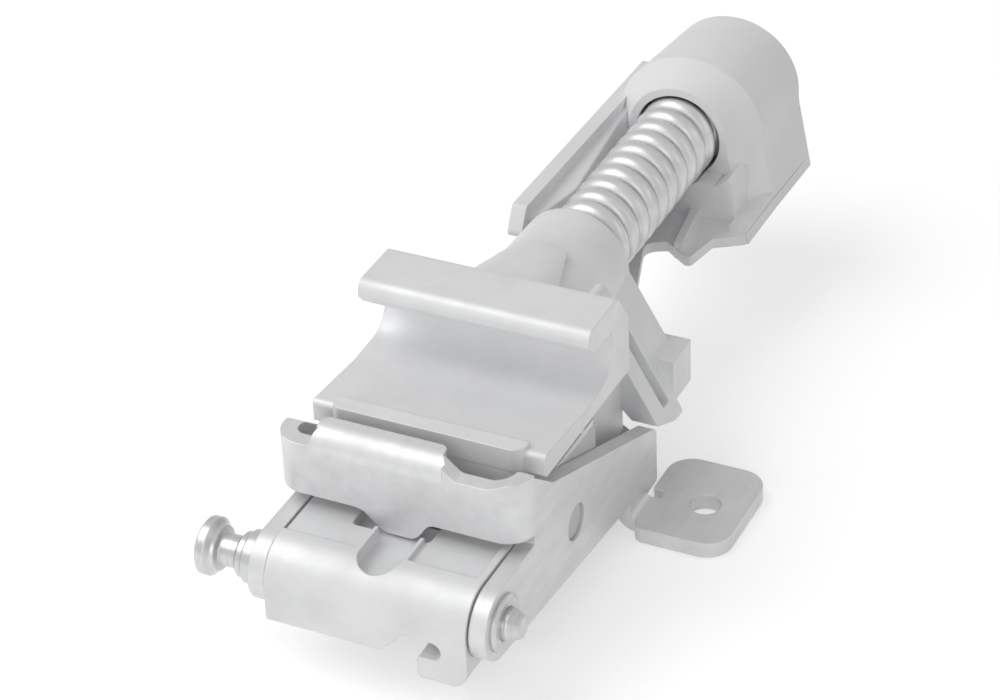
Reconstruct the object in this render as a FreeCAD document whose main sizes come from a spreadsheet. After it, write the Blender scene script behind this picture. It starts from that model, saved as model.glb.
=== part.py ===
import FreeCAD, Part
import math
import os
import re
from types import SimpleNamespace

# Door latch with a sprung slide and a hooked pawl.
# Millimetres, X to the right along the hinge pin, Y to the rear along the spring, Z up.
# The origin is the centre of the foot hole, on the underside of the foot.
# Every piece is drawn about the centre plane of the latch and then set beside the foot.

SIZES = {
    # Pressed bracket
    "foot_offset": 33.7,
    "sheet": 3.1,
    "half_width": 22.6,
    "strap_front": -53.1,
    "strap_bend": 5.0,
    "left_bulge": 2.8,
    "left_top": 37.2,
    "bulge_rear": -43.4,
    "bulge_slope": 3.4,
    "strap_bottom": 26.7,
    "strap_top": 37.3,
    "shoulder_top": 38.9,
    "lip_top": 40.2,
    "lip_left": 17.4,
    "lip_right": 6.6,
    "lip_rear": -47.5,
    "lip_bend": 4.1,
    "tongue_bottom": 22.8,
    "plate_front_top": 32.4,
    "plate_front": -40.6,
    "plate_rear_top": 15.0,
    "plate_rear": 3.6,
    "plate_low": 4.6,
    "ear_radius": 6.8,
    "foot_half_length": 11.3,
    "foot_rear": 12.8,
    "foot_edge": 7.9,
    "foot_corner": 5.0,
    "foot_bend": 1.2,
    "foot_bolt": 6.0,
    "peg_hole": 3.5,
    # Hinge pin and what is on it
    "pin_y": -62.4,
    "pin_z": 18.0,
    "pin_radius": 3.0,
    "pin_head": 5.3,
    "pin_head_width": 3.6,
    "pin_neck": 3.9,
    "bush_radius": 4.9,
    "bush_width": 4.5,
    "washer_radius": 5.2,
    "washer_width": 1.0,
    "pin_tip": 2.9,
    "run_gap": 0.05,
    # Pawl
    "pawl_gap": 0.3,
    "pawl_radius": 7.3,
    "pawl_bottom": 10.8,
    "pawl_tail": -48.4,
    "pawl_tail_under": 19.2,
    "pad_step": 0.9,
    "groove_half": 4.05,
    "groove_floor": 22.3,
    "groove_rib": 0.65,
    "notch_top": 15.8,
    "hook_toe": 9.8,
    "hook_bottom": 7.8,
    "hook_throat": 3.7,
    "hook_depth": 7.2,
    # Slide casting
    "slide_half": 22.3,
    "slide_front": -43.0,
    "plate_top": 39.0,
    "plate_thick": 4.2,
    "wall_front": -14.4,
    "wall_thick": 7.0,
    "finger_top": 52.5,
    "finger_thick": 5.2,
    "finger_front": -24.3,
    "nose_half": 18.5,
    "nose_reach": 1.3,
    "nose_rise": 0.9,
    "tunnel_wall": 2.0,
    "tunnel_flare": 2.6,
    "tunnel_rear": 19.0,
    "tunnel_end": -6.0,
    "skirt_front": 3.0,
    "skirt_rib": 9.2,
    "skirt_foot": 25.0,
    "skirt_low": 12.6,
    "skirt_front_low": 15.8,
    "block_rear": 20.5,
    "block_low": 15.0,
    "block_top": 24.0,
    "runner_inner": 10.2,
    "runner_web": 3.0,
    "runner_foot": 2.7,
    "runner_front": -41.8,
    "slide_travel": 8.0,
    # Spring, rod and seat
    "axis_z": 37.2,
    "coil_radius": 8.3,
    "wire": 4.1,
    "pitch": 4.66,
    "spring_end": 74.2,
    "spring_gap": 0.5,
    "disc_thick": 0.8,
    "rod_radius": 3.8,
    "rod_tail": 3.0,
    "rod_clear": 3.0,
    "seat_radius": 15.4,
    "seat_top": 50.9,
    "seat_foot": 18.2,
    "rear_left": 11.8,
    "rear_right": 15.8,
    "rear_top": 51.5,
    "seat_bottom": 21.0,
    "seat_front": 75.0,
    "seat_rear": 93.0,
    "seat_wall": 3.0,
    "collar_reach": 7.0,
    "collar_radius": 10.4,
    "floor_thick": 2.2,
    "wing_outer": 16.0,
    "wing_thick": 3.0,
    "wing_top": 41.8,
    "wing_front": 25.8,
    "web_inner": 9.6,
    "tongue_half": 8.2,
    "tongue_front": -8.0,
    # Guide base
    "base_half": 19.3,
    "base_front": -46.0,
    "base_rear": 8.0,
    "base_low": 9.6,
    "base_floor": 12.4,
    "rail_rear": -16.1,
    "rail_top": 28.0,
    "rail_gap": 0.3,
    "strip_thick": 1.2,
    "stop_thick": 1.5,
    "peg_radius": 3.35,
    "peg_reach": 2.6,
    "screw_radius": 1.0,
    "screw_head": 1.6,
    "screw_head_height": 1.1,
    "seat_screw_radius": 1.4,
    "seat_screw_head": 2.6,
    "seat_screw_head_height": 1.6,
    "screw_gap": 0.06,
    "nut_half": 5.0,
    "nut_height": 5.0,
}
d = SimpleNamespace(**SIZES)

PLANES = {"XY": "XY_Plane", "XZ": "XZ_Plane", "YZ": "YZ_Plane"}


# Document and its sheet of sizes
def make_sheet(doc):
    sheet = doc.addObject("Spreadsheet::Sheet", "Sizes")
    for row, (name, value) in enumerate(SIZES.items(), start=1):
        sheet.set(f"A{row}", name)
        sheet.set(f"B{row}", str(value))
        sheet.setAlias(f"B{row}", name)
    doc.recompute()
    return sheet


def cells(text):
    """Turns the words of a formula into references to the sheet."""
    return re.sub(r"[a-z][a-z_]*", r"Sizes.\g<0>", text)


def bind(feature, prop, text):
    feature.setExpression(prop, cells(text))


# Sketch geometry
def flat(a, b):
    return FreeCAD.Vector(a, b, 0)


def rounded(corners):
    """Closed outline of lines and tangent arcs; each corner is (a, b) or (a, b, radius)."""
    points = [flat(c[0], c[1]) for c in corners]
    radii = [c[2] if len(c) > 2 else 0 for c in corners]
    starts, ends, arcs = [], [], []
    for i, corner in enumerate(points):
        to_last = (points[i - 1] - corner).normalize()
        to_next = (points[(i + 1) % len(points)] - corner).normalize()
        if radii[i] == 0:
            starts.append(corner)
            ends.append(corner)
            arcs.append(None)
            continue
        half = to_last.getAngle(to_next) / 2
        run = radii[i] / math.tan(half)
        inward = (to_last + to_next).normalize()
        centre = corner + inward * (radii[i] / math.sin(half))
        starts.append(corner + to_last * run)
        ends.append(corner + to_next * run)
        arcs.append(Part.Arc(starts[-1], centre - inward * radii[i], ends[-1]))
    edges = []
    for i, arc in enumerate(arcs):
        if arc:
            edges.append(arc)
        following = starts[(i + 1) % len(points)]
        if (following - ends[i]).Length > 1e-6:
            edges.append(Part.LineSegment(ends[i], following))
    return edges


def disc(a, b, radius):
    return [Part.Circle(flat(a, b), FreeCAD.Vector(0, 0, 1), radius)]


def box(a_low, a_high, b_low, b_high):
    return rounded([(a_low, b_low), (a_high, b_low), (a_high, b_high), (a_low, b_high)])


def mirrored(corners):
    """The same outline on the other side of the centre plane."""
    return [(-c[0],) + tuple(c[1:]) for c in corners]


# Bodies and features
def new_body(doc, name):
    body = doc.addObject("PartDesign::Body", name)
    body.Label = name
    bind(body, "Placement.Base.x", "-foot_offset")
    return body


def sketch_on(body, name, plane, edges, offset):
    sketch = body.newObject("Sketcher::SketchObject", name + "_sketch")
    role = PLANES[plane]
    origin_plane = [f for f in body.Origin.OriginFeatures if f.Role == role][0]
    sketch.AttachmentSupport = [(origin_plane, "")]
    sketch.MapMode = "FlatFace"
    if offset:
        bind(sketch, "AttachmentOffset.Base.z", offset)
    for edge in edges:
        sketch.addGeometry(edge, False)
    return sketch


def add(body, name, plane, edges, low, high):
    """Pad between two places along the plane's axis."""
    offset = {"XY": low, "YZ": low, "XZ": f"-({high})"}[plane]
    pad = body.newObject("PartDesign::Pad", name)
    pad.Profile = sketch_on(body, name, plane, edges, offset)
    bind(pad, "Length", f"({high}) - ({low})")
    body.Document.recompute()
    if not pad.isValid():
        raise RuntimeError(f"{name} can not be made")
    return pad


def cut(body, name, plane, edges, low, high):
    """Pocket between two places along the plane's axis."""
    before = body.Shape.Volume
    offset = {"XY": high, "YZ": high, "XZ": f"-({low})"}[plane]
    pocket = body.newObject("PartDesign::Pocket", name)
    pocket.Profile = sketch_on(body, name, plane, edges, offset)
    bind(pocket, "Length", f"({high}) - ({low})")
    body.Document.recompute()
    if body.Shape.Volume >= before:
        raise RuntimeError(f"{name} cuts nothing")
    return pocket


def turn(body, name, corners):
    """Solid of revolution about the X axis; corners are (along, radius)."""
    turned = body.newObject("PartDesign::Revolution", name)
    turned.Profile = sketch_on(body, name, "XY", rounded(corners), None)
    turned.ReferenceAxis = (turned.Profile[0], ["H_Axis"])
    turned.Angle = 360
    body.Document.recompute()
    return turned


def at_pin(body):
    bind(body, "Placement.Base.y", "pin_y")
    bind(body, "Placement.Base.z", "pin_z")


# Bracket: one pressed sheet with a strap, two side plates with ears, a rolled lip and a foot
def make_bracket(doc):
    body = new_body(doc, "bracket")
    outer = d.half_width
    inner = outer - d.sheet
    back = d.strap_front + d.sheet
    join = d.strap_front + d.strap_bend
    slant = d.bulge_rear - d.bulge_slope
    add(body, "strap", "XY", rounded([
        (-outer, d.bulge_rear), (-outer - d.left_bulge, slant, 2.4),
        (-outer - d.left_bulge, d.strap_front, d.strap_bend), (outer, d.strap_front, d.strap_bend),
        (outer, join), (inner, join), (inner, back, d.strap_bend - d.sheet),
        (-inner - d.left_bulge, back, d.strap_bend - d.sheet), (-inner - d.left_bulge, slant - 0.6, 1.2),
        (-inner, d.bulge_rear),
    ]), "tongue_bottom", "lip_top")
    beyond = outer + d.left_bulge + 2
    front_outline = rounded([
        (-beyond, d.strap_bottom), (-8.4, d.strap_bottom, 4.0), (-4.2, d.tongue_bottom, 3.4),
        (1.9, d.tongue_bottom, 2.6), (4.6, d.strap_bottom, 2.4), (beyond, d.strap_bottom),
        (beyond, d.shoulder_top), (outer - 3.0, d.shoulder_top, 4.0),
        (outer - 6.6, d.strap_top, 4.0), (d.lip_right + 3.4, d.strap_top, 2.2),
        (d.lip_right, d.lip_top, 2.0), (-d.lip_left, d.lip_top, 2.0),
        (-d.lip_left - 0.6, d.left_top, 0.6), (-beyond, d.left_top),
    ])
    frame = box(-beyond - 1, beyond + 1, d.tongue_bottom - 1, d.lip_top + 1)
    cut(body, "strap_outline", "XZ", frame + front_outline, "strap_front - 1", "plate_front")
    shoulder = d.shoulder_top - 0.6
    cut(body, "bulge_top", "YZ", rounded([
        (join - 0.05, shoulder), (d.plate_front, d.plate_front_top), (d.plate_front, d.lip_top + 2),
        (join - 0.05, d.lip_top + 2),
    ]), "-half_width - left_bulge - 1", "-half_width + sheet + 0.5")
    add(body, "lip", "XY", rounded([
        (-d.lip_left, back - 0.5), (d.lip_right, back - 0.5),
        (d.lip_right, d.lip_rear, 1.6), (-d.lip_left, d.lip_rear, 1.6),
    ]), "lip_top - sheet", "lip_top")
    roll_low = d.lip_top - d.lip_bend - 0.2
    roll_back = d.strap_front + d.lip_bend + 0.2
    cut(body, "lip_roll", "YZ", rounded([
        (d.strap_front - 1, roll_low), (d.strap_front, roll_low), (d.strap_front, d.lip_top, d.lip_bend),
        (roll_back, d.lip_top), (roll_back, d.lip_top + 1), (d.strap_front - 1, d.lip_top + 1),
    ]), "-lip_left - 1", "lip_right + 1")
    ear_top = d.pin_z + d.ear_radius
    ear_front = d.pin_y - d.ear_radius
    slope = (d.pin_z - d.ear_radius - d.plate_low) / (d.pin_y - d.plate_rear)
    lean = math.sqrt(1 + slope * slope)
    below_pin = d.pin_z - d.ear_radius * lean

    def low_edge(y):
        return below_pin + slope * (y - d.pin_y)

    foot_front = -d.foot_half_length + 2.6
    foot_rear = -1.5
    bend_top = d.sheet + d.foot_bend
    strap_low = d.strap_bottom + 0.4
    top_slope = (d.plate_front_top - shoulder) / (d.plate_front - join + 0.05)
    left_top = d.bulge_rear - 0.6
    starts = {
        "right": [(join - 0.05, strap_low), (join - 0.05, shoulder)],
        "left": [(left_top, strap_low), (left_top, shoulder + top_slope * (left_top - join + 0.05))],
    }
    rest = [
        (d.plate_front, d.plate_front_top, 4.0),
        (d.plate_rear, d.plate_rear_top, 2.4), (d.plate_rear, d.sheet + 0.1, 0.6),
        (foot_rear, d.sheet + 0.1), (foot_rear, bend_top), (foot_front, bend_top),
        (foot_front, low_edge(foot_front), 0.4),
        (ear_front, low_edge(ear_front), d.ear_radius), (ear_front, ear_top, d.ear_radius),
        (join - 0.6, ear_top, 0.5), (join - 0.6, strap_low),
    ]
    add(body, "right_plate", "YZ", rounded(starts["right"] + rest), "half_width - sheet", "half_width")
    rest[0] = rest[0][:2] + (2.0,)
    add(body, "left_plate", "YZ", rounded(starts["left"] + rest), "-half_width", "-half_width + sheet")
    edge = d.foot_offset + d.foot_edge
    start = outer + d.foot_bend
    half = d.foot_half_length
    add(body, "foot", "XY", rounded([
        (start, -half, 2.0), (edge, -half, d.foot_corner), (edge, d.foot_rear, d.foot_corner),
        (outer + 0.3, d.foot_rear, d.foot_corner), (outer + 0.3, 1.0, 0.5), (start + 1.6, 1.0, 0.6),
        (start + 1.6, foot_rear, 0.6), (start, foot_rear),
    ]), "0", "sheet")
    add(body, "foot_bend_metal", "XZ", rounded([
        (inner, bend_top + 1.0), (inner, 0, d.sheet + d.foot_bend), (start + 0.5, 0),
        (start + 0.5, d.sheet), (outer, d.sheet, d.foot_bend), (outer, bend_top + 1.0),
    ]), "-foot_half_length + 2.6", "-1.5")
    cut(body, "foot_hole", "XY", disc(d.foot_offset, 0, d.foot_bolt / 2), "-1", "sheet + 1")
    for side_name, low, high in (("right", "half_width - sheet - 1", "half_width + 1"),
                                 ("left", "-half_width - 1", "-half_width + sheet + 1")):
        cut(body, side_name + "_pin_hole", "YZ",
            disc(d.pin_y, d.pin_z, d.pin_radius + d.run_gap), low, high)
        cut(body, side_name + "_peg_hole", "YZ", disc(-31.9, d.pin_z, d.peg_hole), low, high)
    return body


# Hinge pin with a spool head at the left and a coned tip at the right
def make_hinge_pin(doc):
    body = new_body(doc, "hinge_pin")
    neck_left = -(d.half_width + d.bush_width + d.pin_neck)
    head_left = neck_left - d.pin_head_width
    tip = d.half_width + d.washer_width + d.pin_tip
    turn(body, "pin_metal", [
        (head_left, 0), (head_left, d.pin_head - 0.9), (head_left + 0.7, d.pin_head),
        (head_left + 2.2, d.pin_head), (neck_left - 0.6, d.pin_head - 1.0),
        (neck_left, d.pin_head - 1.2), (neck_left + 0.4, d.pin_radius),
        (tip - 2.0, d.pin_radius), (tip, d.pin_radius - 1.1), (tip, 0),
    ])
    at_pin(body)
    return body


def make_ring(doc, name, left, right, radius, shoulder, inner):
    """Turned ring on the hinge pin, with a smaller shoulder on its outer side."""
    body = new_body(doc, name)
    step = (right - left) * 0.35
    if left < 0:
        corners = [(left, inner), (left, shoulder - 0.5), (left + 0.5, shoulder), (left + step, shoulder),
                   (left + step, radius - 0.4), (left + step + 0.4, radius), (right, radius), (right, inner)]
    else:
        corners = [(right, inner), (right, shoulder), (right - step, radius), (left, radius), (left, inner)]
    turn(body, name + "_metal", corners)
    at_pin(body)
    return body


# Pawl: a casting rolled round the pin, with pads and a groove on top and a hook below
def make_pawl(doc):
    body = new_body(doc, "pawl")
    half = d.half_width - d.sheet - d.pawl_gap
    front = d.pin_y - d.pawl_radius
    top = d.pin_z + d.pawl_radius
    heel = d.pin_y + d.pawl_radius
    side = "half_width - sheet - pawl_gap"
    add(body, "pawl_body", "YZ", rounded([
        (front, d.pawl_bottom, 1.0), (front, top, d.pawl_radius), (d.pawl_tail, top, 0.8),
        (d.pawl_tail, d.pawl_tail_under, 1.0), (heel, d.pawl_tail_under, 1.6),
        (heel, d.pawl_bottom, 2.5),
    ]), f"-({side})", side)
    wrap = d.pin_radius + 2.2
    cut(body, "notch_depth", "YZ", rounded([
        (front - 1, d.notch_top), (front + 2.1, d.notch_top),
        (front + 2.1, d.pin_z - wrap, 2.6), (heel + 1, d.pin_z - wrap),
        (heel + 1, d.pawl_bottom - 1), (front - 1, d.pawl_bottom - 1),
    ]), "7.1", f"{side} + 1")
    cut(body, "notch_slope", "XZ", rounded([
        (2.3, d.pawl_bottom - 0.01), (7.2, d.notch_top), (7.2, d.pawl_bottom - 1), (2.3, d.pawl_bottom - 1),
    ]), "pin_y - pawl_radius - 1", "pin_y + pawl_radius + 1")
    throat = d.notch_top - d.hook_throat
    add(body, "hook", "XZ", rounded([
        (half, d.pin_z), (half, d.hook_bottom, 3.2), (d.hook_toe, d.hook_bottom, 0.9),
        (d.hook_toe, throat, 0.6), (14.4, throat, 1.8), (14.4, d.notch_top, 1.8),
        (12.0, d.notch_top), (12.0, d.pin_z),
    ]), "pin_y - pawl_radius", "pin_y - pawl_radius + hook_depth")
    pad_front = d.pin_y + 0.9
    inner_edge = d.groove_half + d.groove_rib
    cut(body, "left_pad", "XY", box(-half - 1, -inner_edge, pad_front, d.pawl_tail + 1),
        "pin_z + pawl_radius - pad_step", "pin_z + pawl_radius")
    cut(body, "right_pad", "XY", box(inner_edge, half - 1.3, pad_front, d.pawl_tail + 1),
        "pin_z + pawl_radius - pad_step", "pin_z + pawl_radius")
    cut(body, "groove", "XY", rounded([
        (-d.groove_half, front + 3.4, d.groove_half - 0.01),
        (d.groove_half, front + 3.4, d.groove_half - 0.01),
        (d.groove_half, d.pawl_tail + 1), (-d.groove_half, d.pawl_tail + 1),
    ]), "groove_floor", "pin_z + pawl_radius + 1")
    cut(body, "tongue_recess", "XY", rounded([
        (-9.4, -55.0, 1.0), (5.6, -55.0, 1.0), (5.6, d.pawl_tail + 1), (-9.4, d.pawl_tail + 1),
    ]), "groove_floor", "pin_z + pawl_radius + 1")
    cut(body, "pin_bore", "YZ", disc(d.pin_y, d.pin_z, d.pin_radius + d.run_gap),
        f"-({side}) - 1", f"{side} + 1")
    return body


# Slide: finger bar, dished plate, wall, spring tunnel, skirts and runners in one casting
def make_slide(doc):
    body = new_body(doc, "slide")
    under = d.plate_top - d.plate_thick
    wall_rear = d.wall_front + d.wall_thick
    bar_low = d.finger_top - d.finger_thick
    add(body, "plate_and_bar", "YZ", rounded([
        (d.slide_front, under, 0.6), (d.slide_front, d.plate_top + 0.3, 1.0),
        (-27.0, d.plate_top - 1.1, 25.0), (d.wall_front, d.plate_top - 0.6, 6.0),
        (d.wall_front, bar_low, 1.0), (d.finger_front + 1.9, bar_low, 0.8),
        (d.finger_front, bar_low + 2.2, 0.8), (d.finger_front, d.finger_top, 2.0),
        (wall_rear - 4.4, d.finger_top, 2.0), (wall_rear, d.finger_top - 6.4, 2.0),
        (wall_rear, under),
    ]), "-slide_half", "slide_half")
    nose_front = d.slide_front - d.nose_reach
    add(body, "nose", "XY", rounded([
        (-d.nose_half, nose_front, 2.4), (d.nose_half, nose_front, 2.4),
        (d.nose_half, d.slide_front + 2.2), (-d.nose_half, d.slide_front + 2.2),
    ]), "plate_top - plate_thick + 0.6", "plate_top + nose_rise")
    bore = d.coil_radius + d.spring_gap
    shell = bore + d.tunnel_wall
    crown = d.axis_z + shell
    tunnel = body.newObject("PartDesign::AdditiveLoft", "tunnel")
    rims = []
    for name, radius, place in (("tunnel_mouth", shell, "-tunnel_rear"),
                                ("tunnel_root", shell + d.tunnel_flare, "-(wall_front + 2)")):
        rims.append(sketch_on(body, name, "XZ", rounded([
            (-radius, under), (-radius, crown, radius - 0.01), (radius, crown, radius - 0.01), (radius, under),
        ]), place))
    tunnel.Profile = rims[0]
    tunnel.Sections = [rims[1]]
    tunnel.Ruled = True
    doc.recompute()
    reach = d.skirt_foot - shell
    drop = d.axis_z - d.skirt_low
    heel_slope = (d.skirt_front_low - d.skirt_low) / d.skirt_rib
    heel_rear = d.skirt_front + d.skirt_rib + 0.3
    inner = d.runner_inner - 0.6
    block_x = d.slide_half + 0.1
    rear_x = shell + reach * (d.axis_z - 21.3) / drop
    for sign, name in ((1, "right"), (-1, "left")):
        rib = [(shell - 0.6, d.axis_z + 1.2), (d.skirt_foot, d.skirt_low, 1.2),
               (d.skirt_foot - 4.0, d.skirt_low, 1.0), (inner, 24.5), (inner, d.axis_z + 1.2)]
        flank = [(shell, d.axis_z), (rear_x, 21.3), (rear_x, d.block_low + 1), (inner, d.block_low + 1),
                 (inner, d.axis_z)]
        block = [(inner, d.block_low), (block_x, d.block_low), (block_x, d.block_top), (inner, d.block_top)]
        ribs = rib if sign > 0 else mirrored(rib)
        flanks = flank if sign > 0 else mirrored(flank)
        blocks = block if sign > 0 else mirrored(block)
        add(body, name + "_skirt_rib", "XZ", rounded(ribs), "skirt_front", "skirt_front + skirt_rib")
        add(body, name + "_skirt", "XZ", rounded(flanks), "skirt_front + skirt_rib", "tunnel_rear")
        add(body, name + "_block", "XZ", rounded(blocks), "skirt_front + skirt_rib", "block_rear")
        web_low, web_high = "runner_inner", "runner_inner + runner_web"
        foot_high = "runner_inner + runner_web + runner_foot"
        if sign < 0:
            web_low, web_high = f"-({web_high})", f"-({web_low})"
            foot_low, foot_high = f"-({foot_high})", web_high
        else:
            foot_low = web_low
        low = d.base_floor + d.rail_gap
        add(body, name + "_runner", "YZ", box(d.runner_front, d.skirt_front + 0.5, low, under + 0.5),
            web_low, web_high)
        add(body, name + "_runner_foot", "YZ",
            box(d.runner_front, d.skirt_front + 0.5, low, d.rail_top - d.rail_gap), foot_low, foot_high)
        heel = rounded([
            (d.skirt_front - 1, d.skirt_front_low + heel_slope), (heel_rear, d.skirt_low - 0.1),
            (heel_rear, d.skirt_low - 1), (d.skirt_front - 1, d.skirt_low - 1),
        ])
        heel_range = ("16.2", "skirt_foot + 1") if sign > 0 else ("-skirt_foot - 1", "-16.2")
        cut(body, name + "_rib_heel", "YZ", heel, *heel_range)
    side = 1 / math.hypot(reach, drop)
    out_x, out_z = drop * side, reach * side
    for sign, name in ((1, "right"), (-1, "left")):
        top_x, top_z = shell + reach * 0.15, d.axis_z - drop * 0.15
        end_x, end_z = shell + reach * 0.82, d.axis_z - drop * 0.82
        slot = [(top_x + 3 * out_x, top_z + 3 * out_z), (end_x + 3 * out_x, end_z + 3 * out_z),
                (end_x - 2 * out_x, end_z - 2 * out_z), (top_x - 2 * out_x, top_z - 2 * out_z)]
        slots = slot if sign > 0 else mirrored(slot)
        cut(body, name + "_slot", "XZ", rounded(slots), "skirt_front + 4.2", "skirt_front + 6.9")
    cut(body, "spring_bore", "XZ", disc(0, d.axis_z, bore), "tunnel_end", "block_rear + 1")
    cut(body, "under_bore", "XZ", box(-bore, bore, d.block_low - 1, d.axis_z),
        "tunnel_end", "block_rear + 1")
    return body


# Compression spring, its wire given eight flat sides and twelve straight runs a turn
def make_spring(doc):
    mean = d.coil_radius - d.wire / 2
    front = d.tunnel_end + d.disc_thick + d.wire / 2
    height = d.spring_end - d.wire / 2 - front
    runs = 12
    sides = 8
    steps = round(height / d.pitch * runs)
    fat = d.wire / 2 / math.cos(math.pi / sides)
    points = []
    for step in range(steps + 1):
        angle = 2 * math.pi * step / runs
        outward = FreeCAD.Vector(math.cos(angle), 0, math.sin(angle))
        centre = outward * mean + FreeCAD.Vector(0, front + height * step / steps, 0)
        for side in range(sides):
            turned = 2 * math.pi * (side + 0.5) / sides
            points.append(centre + outward * (fat * math.cos(turned))
                          + FreeCAD.Vector(0, fat * math.sin(turned), 0))
    faces = []
    for step in range(steps):
        for side in range(sides):
            here = step * sides + side
            along = step * sides + (side + 1) % sides
            faces.append((here, here + sides, along))
            faces.append((along, here + sides, along + sides))
    last = steps * sides
    for side in range(1, sides - 1):
        faces.append((0, side, side + 1))
        faces.append((last, last + side + 1, last + side))
    skin = Part.Shape()
    skin.makeShapeFromMesh((points, faces), 0.01)
    solid = Part.makeSolid(skin)
    if solid.Volume < 0:
        solid.reverse()
    spring = doc.addObject("Part::Feature", "compression_spring")
    spring.Label = "compression_spring"
    spring.Shape = solid
    spring.Placement = FreeCAD.Placement(FreeCAD.Vector(-d.foot_offset, 0, d.axis_z), FreeCAD.Rotation())
    return spring


def make_disc(doc, name, low, high, radius, hole):
    body = new_body(doc, name)
    add(body, name + "_plate", "XZ", disc(0, d.axis_z, radius) + disc(0, d.axis_z, hole), low, high)
    return body


# Guide rod inside the spring, with a thinner tail through the seat
def make_guide_rod(doc):
    body = new_body(doc, "guide_rod")
    tip = d.tunnel_end + d.disc_thick + d.slide_travel + d.rod_clear
    tail = d.seat_front + d.seat_wall + d.disc_thick + d.nut_height + 1.5
    rod = body.newObject("PartDesign::Revolution", "rod_metal")
    rod.Profile = sketch_on(body, "rod_metal", "XY", rounded([
        (0, tip), (d.rod_radius - 0.8, tip), (d.rod_radius, tip + 0.8), (d.rod_radius, d.seat_front),
        (d.rod_tail, d.seat_front), (d.rod_tail, tail - 0.6), (d.rod_tail - 0.6, tail), (0, tail),
    ]), "axis_z")
    rod.ReferenceAxis = (rod.Profile[0], ["V_Axis"])
    rod.Angle = 360
    doc.recompute()
    return body


def make_rod_nut(doc):
    body = new_body(doc, "rod_nut")
    around = d.nut_half / math.cos(math.pi / 6)
    hexagon = [(around * math.cos(math.pi / 3 * i), d.axis_z + around * math.sin(math.pi / 3 * i))
               for i in range(6)]
    add(body, "nut_metal", "XZ", rounded(hexagon) + disc(0, d.axis_z, d.rod_tail + d.run_gap),
        "seat_front + seat_wall + disc_thick", "seat_front + seat_wall + disc_thick + nut_height")
    return body


# Spring seat: arched hood with a tapered collar, a long left wing and a tongue to the base
def arch(left, right, top, foot_left, foot_right):
    crown = (left + right) / 2 - 0.1
    spring_line = top - crown - 2.0
    return rounded([
        (-foot_left, d.seat_bottom), (-left, spring_line, 12.0), (-left, top, crown),
        (right, top, crown), (right, spring_line, 12.0), (foot_right, d.seat_bottom),
    ])


def loft(body, name, first, first_place, second, second_place):
    """Straight sided solid between two outlines across the Y axis."""
    blended = body.newObject("PartDesign::AdditiveLoft", name)
    blended.Profile = sketch_on(body, name + "_first", "XZ", first, first_place)
    blended.Sections = [sketch_on(body, name + "_second", "XZ", second, second_place)]
    blended.Ruled = True
    body.Document.recompute()
    if not blended.isValid():
        raise RuntimeError(f"{name} can not be made")
    return blended


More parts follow.
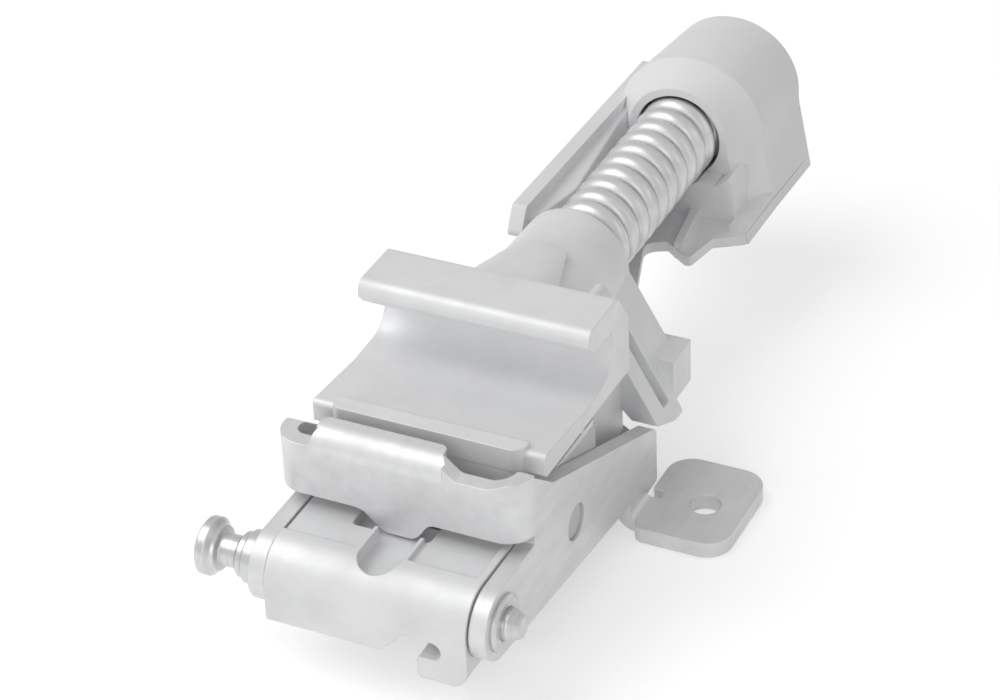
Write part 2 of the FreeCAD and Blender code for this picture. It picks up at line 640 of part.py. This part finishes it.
def make_spring_seat(doc):
    body = new_body(doc, "spring_seat")
    bore = d.coil_radius + d.spring_gap
    rim = [d.seat_radius, d.seat_radius, d.seat_top, d.seat_foot, d.seat_foot]
    mouth_foot = d.seat_foot - 4.6
    loft(body, "hood", arch(*rim), "-seat_front",
         arch(d.rear_left, d.rear_right, d.rear_top, mouth_foot + 1, d.seat_foot + 0.4), "-seat_rear")
    loft(body, "collar", arch(*rim), "-seat_front",
         arch(d.collar_radius, d.collar_radius, d.axis_z + d.collar_radius, mouth_foot, mouth_foot),
         "-(seat_front - collar_reach)")
    wing_inner = d.wing_outer - d.wing_thick
    bottom = d.seat_bottom
    add(body, "wing", "YZ", rounded([
        (d.wing_front, d.wing_top, 1.0), (d.seat_rear - 4.5, d.wing_top - 1.2, 2.4),
        (d.seat_rear - 2.0, d.wing_top - 4.5, 1.0), (d.seat_rear - 2.0, bottom),
        (29.5, bottom), (29.5, 34.0, 2.0), (d.wing_front - 3.2, 36.4, 1.4),
    ]), "-wing_outer", "-wing_outer + wing_thick")
    add(body, "web", "YZ", rounded([
        (30.5, bottom), (30.5, 29.0, 2.0), (49.4, 32.0), (79.0, 38.1), (79.0, bottom),
    ]), "-wing_outer + wing_thick - 0.5", "-web_inner")
    add(body, "floor", "XY", rounded([
        (-d.wing_outer, d.seat_rear - 2.0), (-d.wing_outer, 29.5), (-d.tongue_half, 29.5),
        (-d.tongue_half, d.tongue_front, 2.0), (d.tongue_half, d.tongue_front, 2.0),
        (d.tongue_half, 26.0, 3.0), (0.5, 49.7, 3.0), (4.6, 51.7), (9.5, 48.2, 0.8), (10.8, 48.2, 0.8),
        (12.3, 56.0, 1.0), (d.seat_foot - 0.5, 59.5), (d.seat_foot, d.seat_rear - 2.0),
    ]), "seat_bottom", "seat_bottom + floor_thick")
    add(body, "right_side", "XZ", rounded([
        (d.seat_foot - 3.4, bottom), (d.seat_foot, bottom), (d.seat_foot - 0.9, 24.4),
        (d.seat_foot - 4.3, 24.4),
    ]), "60", "seat_front + 1")
    add(body, "cradle", "XZ", box(-9.6, 9.6, bottom, 31.0),
        "seat_front - collar_reach - 5", "seat_front - collar_reach + 1")
    add(body, "lug_rib", "XY", rounded([(6.6, 50.0), (8.3, 50.0), (6.4, 63.5), (4.7, 63.5)]),
        "seat_bottom", "seat_bottom + floor_thick + 1.4")
    left, right = d.rear_left - d.seat_wall, d.seat_radius - d.seat_wall
    round_top = (left + right) / 2 - 0.1
    cut(body, "hood_hollow", "XZ", rounded([
        (-left, bottom - 1), (-left, d.seat_top - d.seat_wall, round_top),
        (right, d.seat_top - d.seat_wall, round_top), (right, bottom - 1),
    ]), "seat_front + seat_wall", "seat_rear - seat_wall")
    cut(body, "spring_recess", "XZ", disc(0, d.axis_z, bore), "seat_front - collar_reach - 30", "seat_front")
    cut(body, "rod_hole", "XZ", disc(0, d.axis_z, d.rod_tail + d.run_gap),
        "seat_front - 1", "seat_front + seat_wall + 1")
    for y in (-4.0, 3.0):
        cut(body, f"screw_hole_{'front' if y < 0 else 'rear'}", "XY",
            disc(0, y, d.seat_screw_radius + d.screw_gap), "seat_bottom - 1", "seat_bottom + floor_thick + 1")
    return body


# Guide base: a moulding between the side plates that carries the slide and the seat
def make_guide_base(doc):
    body = new_body(doc, "guide_base")
    add(body, "base_floor_plate", "XY", rounded([
        (-d.base_half, d.base_front, 1.0), (d.base_half, d.base_front, 1.0),
        (d.base_half, d.plate_rear - 0.6, 1.0), (11.0, d.base_rear, 2.0), (-11.0, d.base_rear, 2.0),
        (-d.base_half, d.plate_rear - 0.6, 1.0),
    ]), "base_low", "base_floor")
    rail_inner = d.runner_inner + d.runner_web + d.runner_foot + d.rail_gap
    rail = box(d.base_front, d.rail_rear, d.base_low, d.rail_top)
    inner_text = "runner_inner + runner_web + runner_foot + rail_gap"
    add(body, "right_rail", "YZ", rail, inner_text, "base_half")
    add(body, "left_rail", "YZ", rail, "-base_half", f"-({inner_text})")
    add(body, "front_wall", "XZ", box(-rail_inner - 0.5, rail_inner + 0.5, d.base_low, 17.0),
        "base_front", "runner_front - stop_thick - rail_gap")
    add(body, "pedestal", "XY", rounded([
        (-d.tongue_half, d.tongue_front + 0.5, 1.5), (d.tongue_half, d.tongue_front + 0.5, 1.5),
        (d.tongue_half, d.base_rear - 0.5, 1.5), (-d.tongue_half, d.base_rear - 0.5, 1.5),
    ]), "base_floor - 0.5", "seat_bottom")
    add(body, "right_peg", "YZ", disc(-31.9, d.pin_z, d.peg_radius), "base_half - 0.5", "base_half + peg_reach")
    add(body, "left_peg", "YZ", disc(-31.9, d.pin_z, d.peg_radius), "-base_half - peg_reach", "-base_half + 0.5")
    middle = (rail_inner + d.base_half) / 2
    for x in (-middle, middle):
        for y in (-40.0, -21.0):
            cut(body, f"strip_hole_{'left' if x < 0 else 'right'}_{'front' if y < -30 else 'rear'}", "XY",
                disc(x, y, d.screw_radius + d.screw_gap), "rail_top - 8", "rail_top + 1")
    for y in (-4.0, 3.0):
        cut(body, f"seat_hole_{'front' if y < 0 else 'rear'}", "XY",
            disc(0, y, d.seat_screw_radius + d.screw_gap), "seat_bottom - 7", "seat_bottom + 1")
    return body


# Steel strips that hold the slide's feet under them
def make_strip(doc, name, sign):
    body = new_body(doc, name)
    inner = d.runner_inner + d.runner_web + d.rail_gap
    rail_inner = inner + d.runner_foot
    outline = [(inner, d.base_front + 0.5, 0.8), (d.base_half, d.base_front + 0.5, 0.8),
               (d.base_half, d.rail_rear, 0.8), (inner, d.rail_rear, 0.8)]
    edges = rounded(outline if sign > 0 else mirrored(outline))
    middle = sign * (rail_inner + d.base_half) / 2
    for y in (-40.0, -21.0):
        edges += disc(middle, y, d.screw_radius + d.screw_gap)
    add(body, name + "_metal", "XY", edges, "rail_top", "rail_top + strip_thick")
    return body


def make_screws(doc, name, places, radius, head, bottom, seat, height):
    """Like screws of one place kept as one group of separate solids."""
    solids = []
    for x, y in places:
        shank = Part.makeCylinder(radius, seat - bottom, FreeCAD.Vector(x, y, bottom))
        cap = Part.makeCylinder(head, height, FreeCAD.Vector(x, y, seat))
        solids.append(cap.fuse(shank).removeSplitter())
    group = doc.addObject("Part::Feature", name)
    group.Label = name
    group.Shape = Part.makeCompound(solids)
    group.Placement = FreeCAD.Placement(FreeCAD.Vector(-d.foot_offset, 0, 0), FreeCAD.Rotation())
    return group


# Rubber pads that the slide comes to rest on
def make_stop_pads(doc):
    front = d.runner_front - d.rail_gap - d.stop_thick
    pads = []
    for sign in (1, -1):
        low = sign * (d.runner_inner + 0.2) if sign > 0 else -(d.runner_inner + d.runner_web + 2.0)
        pads.append(Part.makeBox(d.runner_web + 1.8, d.stop_thick, 3.6,
                                 FreeCAD.Vector(low, front, d.base_floor)))
    group = doc.addObject("Part::Feature", "stop_pads")
    group.Label = "stop_pads"
    group.Shape = Part.makeCompound(pads)
    group.Placement = FreeCAD.Placement(FreeCAD.Vector(-d.foot_offset, 0, 0), FreeCAD.Rotation())
    return group


def make_all(doc):
    bore = d.pin_radius + d.run_gap
    rail_inner = d.runner_inner + d.runner_web + d.runner_foot + d.rail_gap
    middle = (rail_inner + d.base_half) / 2
    strip_top = d.rail_top + d.strip_thick
    tongue_top = d.seat_bottom + d.floor_thick
    return [
        make_bracket(doc),
        make_hinge_pin(doc),
        make_ring(doc, "left_bush", -d.half_width - d.bush_width, -d.half_width,
                  d.bush_radius, d.bush_radius - 0.7, bore),
        make_ring(doc, "retaining_washer", d.half_width, d.half_width + d.washer_width,
                  d.washer_radius, d.washer_radius - 0.6, bore),
        make_pawl(doc),
        make_slide(doc),
        make_spring(doc),
        make_disc(doc, "front_spring_disc", "tunnel_end", "tunnel_end + disc_thick",
                  d.coil_radius, d.rod_radius + 0.4),
        make_disc(doc, "rear_spring_disc", "spring_end", "seat_front", d.coil_radius, d.rod_radius + 0.1),
        make_guide_rod(doc),
        make_disc(doc, "rod_washer", "seat_front + seat_wall", "seat_front + seat_wall + disc_thick",
                  d.nut_half + 0.6, d.rod_tail + d.run_gap),
        make_rod_nut(doc),
        make_spring_seat(doc),
        make_guide_base(doc),
        make_strip(doc, "left_guide_strip", -1),
        make_strip(doc, "right_guide_strip", 1),
        make_screws(doc, "strip_screws", [(x, y) for x in (-middle, middle) for y in (-40.0, -21.0)],
                    d.screw_radius, d.screw_head, strip_top - 7, strip_top, d.screw_head_height),
        make_screws(doc, "seat_screws", [(0, -4.0), (0, 3.0)],
                    d.seat_screw_radius, d.seat_screw_head, tongue_top - 8, tongue_top,
                    d.seat_screw_head_height),
        make_stop_pads(doc),
    ]


def check(doc, pieces):
    doc.recompute()
    for thing in doc.Objects:
        if "Invalid" in thing.State or "Error" in thing.State:
            raise RuntimeError(f"{thing.Label} failed: {thing.State}")
    for piece in pieces:
        if piece.Shape.isNull() or not piece.Shape.isValid():
            raise RuntimeError(f"{piece.Label} has no valid shape")


def write(pieces):
    os.makedirs("parts", exist_ok=True)
    for piece in pieces:
        piece.Shape.exportStep(f"parts/{piece.Label}.step")
        box_ = piece.Shape.BoundBox
        print(piece.Label, len(piece.Shape.Solids), "solids", round(piece.Shape.Volume, 1),
              [round(v, 1) for v in (box_.XMin, box_.XMax, box_.YMin, box_.YMax, box_.ZMin, box_.ZMax)])


document = FreeCAD.newDocument("door_latch")
make_sheet(document)
all_pieces = make_all(document)
check(document, all_pieces)
write(all_pieces)
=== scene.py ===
import bmesh
import bpy
from math import atan2, cos, pi, radians, sin
from mathutils import Matrix, Vector


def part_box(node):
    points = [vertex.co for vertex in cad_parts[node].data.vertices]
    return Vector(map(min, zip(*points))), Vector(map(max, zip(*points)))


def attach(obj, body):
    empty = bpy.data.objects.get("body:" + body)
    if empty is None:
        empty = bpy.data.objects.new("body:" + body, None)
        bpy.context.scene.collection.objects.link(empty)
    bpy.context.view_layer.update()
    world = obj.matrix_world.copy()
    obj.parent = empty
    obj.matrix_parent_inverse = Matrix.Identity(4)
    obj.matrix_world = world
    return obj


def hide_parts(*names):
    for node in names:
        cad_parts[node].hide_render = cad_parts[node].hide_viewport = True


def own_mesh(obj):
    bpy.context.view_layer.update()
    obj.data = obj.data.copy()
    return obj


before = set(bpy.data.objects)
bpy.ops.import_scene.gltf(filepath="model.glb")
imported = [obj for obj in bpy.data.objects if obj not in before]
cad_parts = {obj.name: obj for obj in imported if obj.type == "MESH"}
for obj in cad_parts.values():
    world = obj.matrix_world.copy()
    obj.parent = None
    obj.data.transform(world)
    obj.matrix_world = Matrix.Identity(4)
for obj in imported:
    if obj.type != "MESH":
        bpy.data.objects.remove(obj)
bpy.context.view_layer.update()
scene = bpy.context.scene
MM = 0.001
FLOOR_DROP = 0.0004
RELIEF_DEPTH = 0.00006
SHARP_ANGLE = radians(35.0)
COIL_WIRE_RADIUS = 2.05 * MM
COIL_PITCH = 4.66 * MM
COIL_STEPS_PER_TURN = 36
TUNNEL_AXIS_Z = 37.2
PHOTO_WIDTH = 1000.0
PHOTO_FOCAL = 3305.0
SENSOR_WIDTH = 36.0


# Node helpers
class Nodes:
    """A node tree with short calls to add nodes and join them."""

    def __init__(self, tree):
        self.tree = tree

    def add(self, kind, **settings):
        node = self.tree.nodes.new(kind)
        for name, value in settings.items():
            setattr(node, name, value)
        return node

    def join(self, start, end):
        self.tree.links.new(start, end)

    def spread(self, value, low, high, to_low=0.0, to_high=1.0):
        node = self.add("ShaderNodeMapRange")
        node.inputs["From Min"].default_value = low
        node.inputs["From Max"].default_value = high
        node.inputs["To Min"].default_value = to_low
        node.inputs["To Max"].default_value = to_high
        self.join(value, node.inputs["Value"])
        return node.outputs["Result"]

    def sums(self, operation, first, second):
        node = self.add("ShaderNodeMath", operation=operation)
        for socket, value in zip(node.inputs, (first, second)):
            if isinstance(value, (int, float)):
                socket.default_value = value
            else:
                self.join(value, socket)
        return node.outputs["Value"]

    def blend(self, mask, first, second):
        node = self.add("ShaderNodeMix", data_type="RGBA")
        self.join(mask, node.inputs[0])
        for socket, value in ((node.inputs[6], first), (node.inputs[7], second)):
            if isinstance(value, tuple):
                socket.default_value = value
            else:
                self.join(value, socket)
        return node.outputs[2]


def group_tree(name, inputs, outputs):
    tree = bpy.data.node_groups.new(name, "ShaderNodeTree")
    for socket, kind, value in inputs:
        made = tree.interface.new_socket(socket, in_out="INPUT", socket_type=kind)
        made.default_value = value
    for socket, kind in outputs:
        tree.interface.new_socket(socket, in_out="OUTPUT", socket_type=kind)
    nodes = Nodes(tree)
    return tree, nodes, nodes.add("NodeGroupInput"), nodes.add("NodeGroupOutput")


def grey(value):
    """A grey with a trace of blue."""
    return (value, value * 1.004, value * 1.012, 1.0)


# Surface effects that several finishes share
def make_grain():
    """Even fine grain: a height, and a mask of slightly duller patches."""
    tree, nodes, given, out = group_tree(
        "surface_grain",
        [("Grain Scale", "NodeSocketFloat", 2500.0), ("Patch Scale", "NodeSocketFloat", 90.0)],
        [("Height", "NodeSocketFloat"), ("Patches", "NodeSocketFloat")])
    where = nodes.add("ShaderNodeTexCoord").outputs["Object"]
    fine = nodes.add("ShaderNodeTexNoise")
    fine.inputs["Detail"].default_value = 4.0
    nodes.join(where, fine.inputs["Vector"])
    nodes.join(given.outputs["Grain Scale"], fine.inputs["Scale"])
    broad = nodes.add("ShaderNodeTexNoise")
    broad.inputs["Detail"].default_value = 5.0
    broad.inputs["Roughness"].default_value = 0.6
    nodes.join(where, broad.inputs["Vector"])
    nodes.join(given.outputs["Patch Scale"], broad.inputs["Scale"])
    nodes.join(fine.outputs["Fac"], out.inputs["Height"])
    nodes.join(nodes.spread(broad.outputs["Fac"], 0.35, 0.65), out.inputs["Patches"])
    return tree


def make_streaks():
    """Fine marks drawn out along one direction, from rolling, drawing or turning."""
    tree, nodes, given, out = group_tree(
        "drawn_marks",
        [("Stretch", "NodeSocketVector", (1.0, 1.0, 1.0)), ("Scale", "NodeSocketFloat", 600.0)],
        [("Height", "NodeSocketFloat"), ("Marks", "NodeSocketFloat")])
    where = nodes.add("ShaderNodeTexCoord").outputs["Object"]
    stretched = nodes.add("ShaderNodeVectorMath", operation="MULTIPLY")
    nodes.join(where, stretched.inputs[0])
    nodes.join(given.outputs["Stretch"], stretched.inputs[1])
    marks = nodes.add("ShaderNodeTexNoise")
    marks.inputs["Detail"].default_value = 3.0
    nodes.join(stretched.outputs["Vector"], marks.inputs["Vector"])
    nodes.join(given.outputs["Scale"], marks.inputs["Scale"])
    nodes.join(marks.outputs["Fac"], out.inputs["Height"])
    nodes.join(nodes.spread(marks.outputs["Fac"], 0.4, 0.62), out.inputs["Marks"])
    return tree


grain_group = make_grain()
streak_group = make_streaks()


def finish(name, colour, dull, metal, rough, rough_dull, bump,
           grain_scale=2500.0, patch_scale=90.0, stretch=None, streak_scale=600.0):
    """One finish: colour and roughness vary, with a fine relief, eased edges and a painted
    highlight along the edges.
    """
    edge_radius, edge_light, edge_polish, edge_gain = 0.00035, 0.5, 0.12, 1.18
    material = bpy.data.materials.new(name)
    material.use_nodes = True
    nodes = Nodes(material.node_tree)
    shader = material.node_tree.nodes["Principled BSDF"]
    grain = nodes.add("ShaderNodeGroup", node_tree=grain_group)
    grain.inputs["Grain Scale"].default_value = grain_scale
    grain.inputs["Patch Scale"].default_value = patch_scale
    height = grain.outputs["Height"]
    mask = grain.outputs["Patches"]
    if stretch:
        marks = nodes.add("ShaderNodeGroup", node_tree=streak_group)
        marks.inputs["Stretch"].default_value = stretch
        marks.inputs["Scale"].default_value = streak_scale
        height = nodes.sums("ADD", height, marks.outputs["Height"])
        mask = nodes.sums("MULTIPLY", nodes.sums("ADD", mask, marks.outputs["Marks"]), 0.5)
    eased = nodes.add("ShaderNodeBevel", samples=6)
    eased.inputs["Radius"].default_value = edge_radius
    facing = nodes.add("ShaderNodeVectorMath", operation="DOT_PRODUCT")
    nodes.join(eased.outputs["Normal"], facing.inputs[0])
    nodes.join(nodes.add("ShaderNodeNewGeometry").outputs["Normal"], facing.inputs[1])
    # Painted edge highlight: the colour is lightened where the eased normal turns away from the
    # face, and the roughness is lowered there.
    painted_edge_highlight = nodes.spread(facing.outputs["Value"], 0.985, 0.86, 0.0, edge_light)
    colours = nodes.blend(mask, grey(colour), grey(dull))
    edge_highlight_colour = grey(min(1.0, colour * edge_gain))
    nodes.join(nodes.blend(painted_edge_highlight, colours, edge_highlight_colour), shader.inputs["Base Color"])
    roughness = nodes.spread(mask, 0.0, 1.0, rough, rough_dull)
    polish = nodes.sums("MULTIPLY", painted_edge_highlight, edge_polish)
    nodes.join(nodes.sums("SUBTRACT", roughness, polish), shader.inputs["Roughness"])
    shader.inputs["Metallic"].default_value = metal
    relief = nodes.add("ShaderNodeBump")
    nodes.join(eased.outputs["Normal"], relief.inputs["Normal"])
    relief.inputs["Strength"].default_value = bump
    relief.inputs["Distance"].default_value = RELIEF_DEPTH
    nodes.join(height, relief.inputs["Height"])
    nodes.join(relief.outputs["Normal"], shader.inputs["Normal"])
    return material


def bright_zinc():
    return finish("bright_zinc_plate", 0.80, 0.72, 0.50, 0.40, 0.50, 0.25, patch_scale=140.0,
                  stretch=(1.0, 0.15, 1.0), streak_scale=420.0)


def turned_steel():
    return finish("turned_steel", 0.66, 0.56, 0.85, 0.30, 0.40, 0.12, patch_scale=200.0,
                  stretch=(6.0, 0.4, 0.4), streak_scale=500.0)


def drawn_wire():
    return finish("drawn_spring_wire", 0.74, 0.62, 0.70, 0.34, 0.46, 0.10, patch_scale=160.0,
                  stretch=(0.5, 3.0, 0.5), streak_scale=500.0)


def cast_pawl():
    return finish("blasted_pawl_casting", 0.82, 0.75, 0.35, 0.46, 0.58, 0.5, grain_scale=1700.0)


def cast_slide():
    return finish("blasted_slide_casting", 0.87, 0.81, 0.25, 0.44, 0.55, 0.45, grain_scale=1900.0)


def seat_nylon():
    return finish("spark_grain_nylon", 0.90, 0.86, 0.0, 0.48, 0.56, 0.5, grain_scale=2600.0,
                  patch_scale=60.0)


def base_nylon():
    return finish("grey_base_nylon", 0.70, 0.65, 0.0, 0.5, 0.6, 0.5, grain_scale=2600.0,
                  patch_scale=60.0)


def stop_rubber():
    return finish("stop_rubber", 0.34, 0.40, 0.0, 0.7, 0.85, 0.6, grain_scale=1500.0)


def dress(names, material):
    for name in names:
        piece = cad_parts[name]
        if not piece.data.materials:
            piece.data.materials.append(material)
        for place in range(len(piece.data.materials)):
            piece.data.materials[place] = material


zinc = bright_zinc()
turned = turned_steel()
wire_steel = drawn_wire()
dress(["bracket", "left_guide_strip", "right_guide_strip"], zinc)
dress(["hinge_pin", "left_bush", "retaining_washer", "guide_rod", "rod_washer", "rod_nut",
       "front_spring_disc", "rear_spring_disc", "strip_screws", "seat_screws"], turned)
dress(["pawl"], cast_pawl())
slide_metal = cast_slide()
dress(["slide"], slide_metal)
seat_plastic = seat_nylon()
dress(["spring_seat"], seat_plastic)
dress(["guide_base"], base_nylon())
dress(["stop_pads"], stop_rubber())


# Pieces made here
def keep(bm, name, material, body):
    """A finished mesh as a smooth shaded piece that rides with a body."""
    bmesh.ops.recalc_face_normals(bm, faces=bm.faces)
    mesh = bpy.data.meshes.new(name)
    bm.to_mesh(mesh)
    bm.free()
    for face in mesh.polygons:
        face.use_smooth = True
    mesh.materials.append(material)
    piece = bpy.data.objects.new(name, mesh)
    scene.collection.objects.link(piece)
    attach(piece, body)
    return piece


def make_coil():
    """Round wire coil between the two spring discs, in place of the flat sided solid."""
    low, high = (Vector(corner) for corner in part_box("compression_spring"))
    middle = (low + high) / 2
    mean_radius = (high.x - low.x) / 2 - COIL_WIRE_RADIUS
    start = low.y + COIL_WIRE_RADIUS
    run = high.y - COIL_WIRE_RADIUS - start
    steps = round(run / COIL_PITCH * COIL_STEPS_PER_TURN)
    slope = atan2(run / steps * COIL_STEPS_PER_TURN, 2 * pi * mean_radius)
    place = (middle.x + mean_radius, start, middle.z)
    bm = bmesh.new()
    bmesh.ops.create_circle(bm, segments=14, radius=COIL_WIRE_RADIUS, cap_ends=False)
    bmesh.ops.translate(bm, vec=place, verts=bm.verts)
    bmesh.ops.rotate(bm, cent=place, matrix=Matrix.Rotation(-slope, 3, "X"), verts=bm.verts)
    bmesh.ops.spin(bm, geom=bm.edges[:], cent=(middle.x, start, middle.z), axis=(0, -1, 0),
                   dvec=(0, run / steps, 0), angle=2 * pi * steps / COIL_STEPS_PER_TURN,
                   steps=steps, use_merge=False, use_duplicate=False)
    open_edges = [edge for edge in bm.edges if edge.is_boundary]
    bmesh.ops.holes_fill(bm, edges=open_edges, sides=0)
    coil = keep(bm, "spring_coil", wire_steel, "frame")
    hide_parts("compression_spring")
    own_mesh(coil)


make_coil()


# Cast and moulded forms too slight for the CAD solids, each a block, all but the crown blend with
# eased edges
def make_block(name, corners, ease, material, body):
    """The hull of corners given in mm, X from the latch's middle plane, with edges eased by mm."""
    low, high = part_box("slide")
    middle = (low[0] + high[0]) / 2
    bm = bmesh.new()
    for x, y, z in corners:
        bm.verts.new((middle + x * MM, y * MM, z * MM))
    bmesh.ops.convex_hull(bm, input=bm.verts)
    bmesh.ops.dissolve_limit(bm, angle_limit=radians(1.0), verts=bm.verts, edges=bm.edges)
    if ease:
        bmesh.ops.bevel(bm, geom=bm.edges[:], offset=ease * MM, segments=4, profile=0.5,
                        affect="EDGES", material=-1)
    piece = keep(bm, name, material, body)
    piece.data.set_sharp_from_angle(angle=SHARP_ANGLE)


def make_bar_gusset():
    """Short web behind the right half of the finger bar."""
    corners = [(13.9, -12.5, 48.2), (15.9, -12.5, 48.2), (12.5, -12.5, 44.6), (17.3, -12.5, 44.6),
               (13.9, -1.8, 48.2), (15.9, -1.8, 48.2), (12.5, -1.8, 44.6), (17.3, -1.8, 44.6),
               (12.5, -12.5, 37.0), (17.3, -12.5, 37.0), (12.0, 3.0, 37.0), (15.0, 3.0, 35.0)]
    make_block("bar_gusset", corners, 0.9, slide_metal, "slide")


def make_crown_blend():
    """The bar's back running out over the tunnel, from a flat arch to the tunnel's own round."""
    front_y, front_z, front_flat, front_radius = -12.4, 46.7, 4.6, 5.0
    rear_y, rear_radius = 5.0, 11.9
    corners = []
    for sign in (-1, 1):
        for step in range(9):
            front, rear = radians(11.0 * step), radians(3.1 * step)
            corners.append((0.2 + sign * (front_flat + front_radius * sin(front)), front_y,
                            front_z + front_radius * cos(front)))
            corners.append((sign * rear_radius * sin(rear), rear_y,
                            TUNNEL_AXIS_Z + rear_radius * cos(rear)))
    make_block("crown_blend", corners, 0.0, slide_metal, "slide")


def make_nose_apron():
    """Lower half of the slide's nose, down behind the strap."""
    outline = [(16.1, -44.25), (17.8, -43.55), (18.5, -41.85)]
    corners = [(sign * x, y, z) for sign in (-1, 1) for x, y in outline for z in (31.2, 37.5)]
    make_block("nose_apron", corners, 0.4, slide_metal, "slide")


def make_wing_shelf():
    """Shallow floor of the channel between the seat's long wing and the spring."""
    top = [(-13.2, 26.6), (-11.4, 27.6), (-8.9, 39.0), (-12.4, 74.5), (-13.2, 74.5)]
    bottom = [(-13.2, 29.0), (-9.0, 29.0), (-9.0, 74.5), (-13.2, 74.5)]
    corners = [(x, y, 39.2) for x, y in top] + [(x, y, 29.6) for x, y in bottom]
    make_block("wing_shelf", corners, 0.3, seat_plastic, "frame")


def make_cradle_wing():
    """Right half of the wall that holds the spring up in front of the seat's collar."""
    outline = [(8.6, 21.3), (8.6, 29.4), (12.6, 32.6), (13.6, 31.8), (14.2, 23.0), (14.2, 21.3)]
    corners = [(x, y, z) for x, z in outline for y in (63.2, 72.0)]
    make_block("cradle_wing", corners, 0.3, seat_plastic, "frame")


make_bar_gusset()
make_crown_blend()
make_nose_apron()
make_wing_shelf()
make_cradle_wing()


# Room, lamps and camera
def make_floor():
    """A pale floor that the camera sees as white except in the shadows."""
    bm = bmesh.new()
    bmesh.ops.create_grid(bm, x_segments=1, y_segments=1, size=4.0)
    bmesh.ops.translate(bm, verts=bm.verts, vec=(0, 0, -FLOOR_DROP))
    mesh = bpy.data.meshes.new("floor")
    bm.to_mesh(mesh)
    bm.free()
    floor = bpy.data.objects.new("floor", mesh)
    scene.collection.objects.link(floor)
    material = bpy.data.materials.new("pale_floor")
    material.use_nodes = True
    nodes = Nodes(material.node_tree)
    shader = material.node_tree.nodes["Principled BSDF"]
    shader.inputs["Base Color"].default_value = (0.9, 0.9, 0.9, 1.0)
    shader.inputs["Roughness"].default_value = 0.9
    shader.inputs["Emission Color"].default_value = (1.0, 1.0, 1.0, 1.0)
    path = nodes.add("ShaderNodeLightPath")
    seen = nodes.sums("MAXIMUM", path.outputs["Is Camera Ray"], path.outputs["Is Glossy Ray"])
    nodes.join(nodes.sums("MULTIPLY", seen, 0.42), shader.inputs["Emission Strength"])
    mesh.materials.append(material)


def make_world():
    """White for the camera, softer for what the part mirrors and dimmer for its light."""
    world = bpy.data.worlds.new("studio")
    world.use_nodes = True
    scene.world = world
    nodes = Nodes(world.node_tree)
    back = world.node_tree.nodes["Background"]
    path = nodes.add("ShaderNodeLightPath")
    seen = nodes.sums("MAXIMUM", path.outputs["Is Camera Ray"], path.outputs["Is Transmission Ray"])
    seen = nodes.sums("MAXIMUM", seen, nodes.sums("MULTIPLY", path.outputs["Is Glossy Ray"], 0.55))
    back.inputs["Color"].default_value = (1.0, 1.0, 1.0, 1.0)
    nodes.join(nodes.spread(seen, 0.0, 1.0, 0.38, 1.0), back.inputs["Strength"])


def make_lamp(name, place, size, power):
    """A round soft lamp that faces the middle of the part."""
    aim = Vector((-0.03, 0.0, 0.02))
    lamp = bpy.data.lights.new(name, "AREA")
    lamp.shape = "DISK"
    lamp.size = size
    lamp.energy = power
    holder = bpy.data.objects.new(name, lamp)
    scene.collection.objects.link(holder)
    holder.location = place
    holder.rotation_euler = (aim - Vector(place)).to_track_quat("-Z", "Y").to_euler()


def make_camera():
    """The camera that was fitted to the photo."""
    azimuth, height, roll = radians(26.7), radians(33.73), radians(-2.5)
    back = Vector((sin(azimuth) * cos(height), -cos(azimuth) * cos(height), sin(height)))
    level = Vector((cos(azimuth), sin(azimuth), 0.0))
    upright = back.cross(level)
    across = level * cos(roll) + upright * sin(roll)
    up = upright * cos(roll) - level * sin(roll)
    lens = bpy.data.cameras.new("photo_camera")
    lens.sensor_width = SENSOR_WIDTH
    lens.lens = SENSOR_WIDTH * PHOTO_FOCAL / PHOTO_WIDTH
    lens.clip_start = 0.01
    camera = bpy.data.objects.new("photo_camera", lens)
    scene.collection.objects.link(camera)
    turn = Matrix((across, up, back)).transposed().to_4x4()
    camera.matrix_world = Matrix.Translation(Vector((0.1865, -0.4517, 0.3645))) @ turn
    scene.camera = camera


make_floor()
make_world()
make_lamp("key_lamp", (-0.55, -0.25, 0.75), 0.8, 3.6)
make_lamp("front_lamp", (0.12, -0.8, 0.35), 0.6, 1.2)
make_lamp("side_lamp", (0.7, 0.15, 0.4), 0.5, 0.35)
make_camera()
scene.view_settings.view_transform = "Standard"
